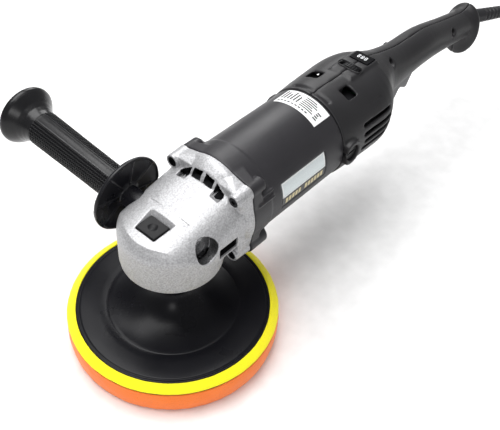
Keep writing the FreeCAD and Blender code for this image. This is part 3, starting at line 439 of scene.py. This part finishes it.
# ---------------------------------------------------------------- cord
# Route of the free cord out of its boot, down to the floor and up to the coil.
ROUTE = [(0.5210, -0.0158, 0.0945), (0.5415, -0.0215, 0.0895), (0.5620, -0.0290, 0.0775),
         (0.5790, -0.0390, 0.0585), (0.5895, -0.0520, 0.0350), (0.5925, -0.0680, 0.0155),
         (0.5928, -0.0860, 0.0056), (0.5915, -0.1060, 0.0042)]
LEAD = [(0.5926, -0.1040, 0.0123), (0.5950, -0.1200, 0.0120), (0.6005, -0.1360, 0.0126),
        (0.6025, -0.1520, 0.0130)]
COIL_X, COIL_Y = 0.540, -0.100


def coil_points():
    """Three turns inwards on the floor, then three outwards on top of them."""
    points = []
    start, stop = -24.6, -4.4 - 360 * 6
    count = 86
    for i in range(count):
        t = i / (count - 1)
        angle = math.radians(start + (stop - start) * t)
        turn = t * (start - stop) / 360.0
        half = (start - stop) / 720.0
        along = turn if turn < half else 2 * half - turn
        whole = int(along)
        into = max(0.0, (along - whole - 0.72) / 0.28)
        ring = min(2.0, whole + into * into * (3 - 2 * into))
        rise = min(1.0, max(0.0, (turn - half) / 0.3 + 0.5))
        radius = (52.4 - 8.3 * ring) * MM
        z = (4.2 + 8.1 * rise * rise * (3 - 2 * rise)) * MM
        points.append((COIL_X + radius * math.cos(angle), COIL_Y + radius * math.sin(angle), z))
    return points


def make_cord():
    points = ROUTE + coil_points() + LEAD
    curve = bpy.data.curves.new("power_cord_line", "CURVE")
    curve.dimensions = "3D"
    spline = curve.splines.new("NURBS")
    spline.points.add(len(points) - 1)
    for place, point in zip(spline.points, points):
        place.co = (*point, 1.0)
    spline.order_u = 3
    spline.use_endpoint_u = True
    spline.resolution_u = 6
    curve.bevel_depth = 0.004
    curve.bevel_resolution = 5
    curve.use_fill_caps = True
    curve.materials.append(M["rubber"])
    cord = bpy.data.objects.new("power_cord_line", curve)
    scene.collection.objects.link(cord)
    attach(cord, "tool_body")
    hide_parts("power_cord", "power_cord_coil")
    plug = rounded("plug_body", "tool_body", "rubber", 0.0007, 5)


# ---------------------------------------------------------------- pad and backing plate
def worn(mesh, size, scale):
    """Small uneven moves of the surface, so that foam isn't perfectly turned.

    The standing face and the middle stay as they are.
    """
    for vertex in mesh.vertices:
        p = vertex.co
        if p.z > 0.0004:
            flat = Vector((p.x, p.y, 0.0))
            if flat.length > 0.02:
                k = noise.noise(p * scale) + 0.5 * noise.noise(p * scale * 2.7)
                vertex.co += flat.normalized() * size * k


def make_pad():
    side = [(86.9, 0.5), (87.6, 0.9), (88.3, 1.8), (88.7, 3.2)]
    for i in range(1, 22):
        t = i / 22
        side.append((88.7 + 0.9 * math.sin(t * math.pi) + 0.6 * t, 3.2 + 20.4 * t))
    side += [(89.3, 23.7), (88.6, 23.98)]
    bottom = [(0, 0)] + [(r, 0) for r in range(6, 84, 6)] + [(84.6, 0.0), (85.9, 0.12)]
    top = [(r, 23.98) for r in range(84, 0, -12)] + [(0, 23.98)]
    pad = lathe("foam_pad_soft", bottom + side + top, 320)
    worn(pad, 0.00035, 120.0)
    pad = new_piece("foam_pad_soft", pad, "orange", "spindle_group")
    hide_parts("foam_pad")

    profile = [(0, 25.22), (84, 25.22), (88.2, 25.22), (89.0, 25.35), (89.4, 25.7), (89.3, 26.1),
               (87.4, 27.5), (85.0, 29.0), (83.5, 29.9), (82.9, 30.12), (82.2, 30.15), (81.95, 29.9),
               (81.95, 27.3), (0, 27.3)]
    band = lathe("cushion_soft", profile, 320)
    worn(band, 0.0002, 140.0)
    band = new_piece("cushion_soft", band, "yellow", "spindle_group")
    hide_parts("cushion_layer")

    profile = [(0, 24.02), (88.6, 24.02), (88.9, 24.2), (88.9, 25.0), (88.6, 25.18), (0, 25.18)]
    hook = lathe("hook_layer_edge", profile, 256)
    hook = new_piece("hook_layer_edge", hook, "hook", "spindle_group")
    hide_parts("hook_layer")


def make_plate():
    profile = [(0, 27.25), (81.2, 27.25), (81.7, 27.6), (81.8, 28.6), (81.75, 29.6), (81.4, 30.05),
               (80.7, 30.2), (80.2, 30.2), (79.9, 30.05), (79.3, 29.75), (78.7, 29.8), (78.3, 30.1),
               (77.9, 30.35), (77.3, 30.4), (70, 30.4), (63, 30.35), (56.6, 30.3), (56.1, 30.15),
               (55.7, 29.9), (55.3, 30.15), (54.6, 30.3)]
    for i in range(1, 24):
        a = math.radians(90 * i / 24)
        profile.append((55.0 - 42.4 * math.sin(a), 57.2 - 26.9 * math.cos(a)))
    profile += [(12.5, 58.0), (12.3, 59.2), (11.9, 59.8), (11.3, 60.0), (9.0, 60.0), (9.0, 50.0),
                (0, 50.0)]
    plate = new_piece("backing_plate_gloss", lathe("backing_plate_gloss", profile, 384), "plate",
                      "spindle_group")
    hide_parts("backing_plate")


# ---------------------------------------------------------------- side handle
GRIP_OUTLINE = [(51.2, 12.0), (51.8, 12.9), (53, 13.2), (62, 13.5), (64, 13.7), (110, 14.2), (152, 14.9),
                (157, 15.6), (161, 16.9), (165, 19.2), (169, 22.6), (172, 25.0), (174.2, 26.2),
                (176.2, 26.4), (177.8, 25.8), (178.8, 24.2), (179.2, 21.0)]
KNURL_START, KNURL_END, KNURL_PITCH = 61.0, 153.0, 2.1


def handle_point(y, angle, radius):
    """Point about the side handle's axis, which climbs outwards."""
    x = radius * math.sin(angle)
    up = radius * math.cos(angle)
    dy = y - HANDLE_Y
    return Vector((x * MM, (HANDLE_Y + dy * math.cos(SIDE_RISE) - up * math.sin(SIDE_RISE)) * MM,
                   (HANDLE_Z + dy * math.sin(SIDE_RISE) + up * math.cos(SIDE_RISE)) * MM))


def make_grip():
    around, rows = 360, []
    ys = [51.2 + 0.3 * i for i in range(8)] + [53.6 + 0.35 * i for i in range(289)]
    ys += [155.0 + 0.55 * i for i in range(44)] + [179.0, 179.2]
    pits = []
    for y in ys:
        base = radius_at(GRIP_OUTLINE, y)
        row = []
        for j in range(around):
            angle = 2 * math.pi * j / around
            r = base
            if KNURL_START < y < KNURL_END:
                # A smooth panel above and one below, the rest a raised net around small pits.
                off = abs((math.degrees(angle) + 8.0 + 90.0) % 180.0 - 90.0)
                if off < 17.0:
                    r -= 0.5 * min(1.0, (17.0 - off) / 3.0)
                elif off < 20.0:
                    r += 0.35
                else:
                    across = abs((j % 10) - 5) / 5.0
                    along = abs(((y - KNURL_START) / KNURL_PITCH) % 1.0 - 0.5) * 2
                    if along > 0.66:
                        r += 0.5
                    elif across < 0.66:
                        r -= 0.55
                        pits.append((len(rows) + 1, j))
                    else:
                        r += 0.05
            row.append(handle_point(y, angle, r))
        rows.append(row)
    turns = [2 * math.pi * j / around for j in range(around)]
    for r in (14.0, 7.0, 0.3):
        rows.append([handle_point(179.28, angle, r) for angle in turns])
    rows.insert(0, [handle_point(51.2, angle, 4.3) for angle in turns])
    grip = new_piece("side_grip_rubber", grid_mesh("side_grip_rubber", rows), "grip", "tool_body")
    # Near black in the pits of the net: painted shade.
    grip.data.materials.append(M["dark"])
    for i, j in pits:
        grip.data.polygons[i * around + j].material_index = 1
    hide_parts("side_handle_grip")


# ---------------------------------------------------------------- labels and readout
def make_prints():
    # Plain bars and blocks stand for the label's text.
    boxes = []
    for k in range(6):
        boxes.append((148.5, 160.5 - 1.8 * (k % 3), -26.0 + 4.4 * k, -24.0 + 4.4 * k))
    for k in range(9):
        boxes.append((144.2, 145.6, -26.0 + 5.0 * k, -22.8 + 5.0 * k))
    for k in range(6):
        boxes.append((147.6 + 2.3 * k, 148.6 + 2.3 * k, 1.5, 22.0 - 2.6 * (k % 3)))
    for k in range(4):
        boxes.append((146.0 + 2.4 * k, 147.2 + 2.4 * k, 24.5, 30.3 - (k % 3)))
    print_marks("spec_label_print", boxes, LABEL_PRINT_R, "ink")
    border = [(85.2, 139.8, 66.3, 67.6), (85.2, 139.8, 84.6, 85.8), (85.2, 86.4, 66.3, 85.8),
              (138.6, 139.8, 66.3, 85.8)]
    print_marks("nameplate_border", border, NAMEPLATE_R, "white")
    marks = [(89 + 4.1 * k, 91.9 + 4.1 * k, 89.2, 96.4) for k in range(12) if k != 5]
    print_marks("trim_strip_marks", marks, TRIM_STRIP_R, "gold")

    # Readout: three generic figures made of bars, on top of the window, with a faint painted glow.
    bars = []
    for cy in (-3.7, 0.0, 3.7):
        for dx in (-2.1, 0.0, 2.1):
            bars.append((WINDOW_X + dx, cy, 0.5, 1.5))
        for dy in (-0.9, 0.9):
            for dx in (-1.05, 1.05):
                bars.append((WINDOW_X + dx, cy + dy, 1.5, 0.5))
    verts, faces = [], []
    for cx, cy, w, h in bars:
        k = len(verts)
        for sx, sy in ((-1, -1), (1, -1), (1, 1), (-1, 1)):
            verts.append(((cx + sx * w / 2) * MM, (cy + sy * h / 2) * MM, READOUT_Z))
        faces.append((k, k + 1, k + 2, k + 3))
    new_piece("readout_figures", plain_mesh("readout_figures", verts, faces), "glow", "tool_body")


def make_slot_shade_sheets():
    """Dark sheets under the two top slots of the handle: painted shade, so the slots look dark inside."""
    faces = [(0, 1, 3, 2), (4, 6, 7, 5), (0, 4, 5, 1), (2, 3, 7, 6), (0, 2, 6, 4), (1, 5, 7, 3)]
    for name, sides in (("slot_shade_sheet_left", (-27, -9)), ("slot_shade_sheet_right", (9, 27))):
        verts = [(x * MM, y * MM, z * MM) for x in (185, 205) for y in sides for z in (145.2, 146.0)]
        new_piece(name, plain_mesh(name, verts, faces), "dark", "tool_body")


def make_dial_bezel():
    """Raised oval rim around the speed dial."""
    # (radius of the rounded ends, height) round the rim's own section
    section = ((3.8, 157.9), (4.0, 158.6), (4.4, 158.85), (4.8, 158.6), (5.0, 157.9))
    around, verts, faces = 96, [], []
    for r, z in section:
        for i in range(around):
            a = 2 * math.pi * (i + 0.5) / around
            centre_y = math.copysign(7.8, math.cos(a))
            verts.append(((DIAL_X + r * math.sin(a)) * MM, (centre_y + r * math.cos(a)) * MM, z * MM))
    for k in range(len(section)):
        low, high = k * around, (k + 1) % len(section) * around
        for i in range(around):
            j = (i + 1) % around
            faces.append((low + i, high + i, high + j, low + j))
    new_piece("dial_bezel", plain_mesh("dial_bezel", verts, faces), "shell", "tool_body")


# ---------------------------------------------------------------- finishes of the carried nodes
FINISH = {
    "bearing_retainer": "cast", "retainer_screws": "screw", "gear_head_screws": "screw",
    "spindle_bearing_outer": "steel", "spindle_bearing_inner": "steel", "spindle_top_bush": "bronze",
    "spindle_lock_pin": "steel", "spindle_lock_spring": "steel", "nameplate": "silver",
    "trim_strip": "strip", "spec_label": "white", "fan_baffle": "black", "stator_core": "core",
    "field_coils": "copper", "armature_shaft": "steel", "drive_pinion": "gear", "pinion_nut": "steel",
    "armature_core": "core", "armature_windings": "copper", "commutator": "copper", "cooling_fan": "black",
    "front_bearing_outer": "steel", "front_bearing_inner": "steel", "rear_bearing_outer": "steel",
    "rear_bearing_inner": "steel", "brush_holders": "brass", "carbon_brushes": "carbon",
    "brush_springs": "steel", "handle_screws": "screw", "readout_window": "window",
    "control_board": "board", "trigger_spring": "steel", "switch_body": "black", "cord_clamp": "black",
    "plug_pins": "brass", "side_handle_stud": "steel", "hub_insert": "steel", "spindle": "steel",
    "drive_gear": "gear", "gear_clip": "steel",
}


def finish_nodes():
    for node, material in FINISH.items():
        mesh = nodes[node].data
        mesh.materials.clear()
        mesh.materials.append(M[material])


make_cord()
make_pad()
make_plate()
make_grip()
make_prints()
finish_nodes()
head = rounded("gear_head_housing", "tool_body", "cast", 0.00055, 3, 0.45,
               lug_webs((36.4, 49.9), 5.3, ((37.5, 37.0), (43.0, 41.0), (49.9, 42.3))))
# Painted shade: a darker metal inside the side handle recess.
paint(head, "recess", in_recess)
# Painted shade: near black in the outlets, duct, side slots, lock pocket and screw recesses.
paint(head, "dark", in_hollow)
rounded("motor_housing", "tool_body", "housing", 0.0008, 4, 0.4,
        lug_webs((50.1, 58.0), 6.0, ((50.1, 42.3), (62.0, 42.3))))
make_slot_shade_sheets()
make_dial_bezel()
for side in ("left", "right"):
    rounded("handle_shell_" + side, "tool_body", "shell", 0.0009, 10)
rounded("side_handle_guard", "tool_body", "guard", 0.0006, 4)
rounded("cord_boot", "tool_body", "rubber", 0.0005, 4)
for side in ("left", "right"):
    rounded("brush_cap_" + side, "tool_body", "black", 0.0003, 3)
rounded("spindle_lock_button", "spindle_lock", "black", 0.0003, 3)
rounded("trigger", "trigger_lever", "trigger", 0.0005, 4)
rounded("lock_on_button", "lock_on", "black", 0.0003, 3)
rounded("speed_dial", "dial", "black", 0.00025, 2)
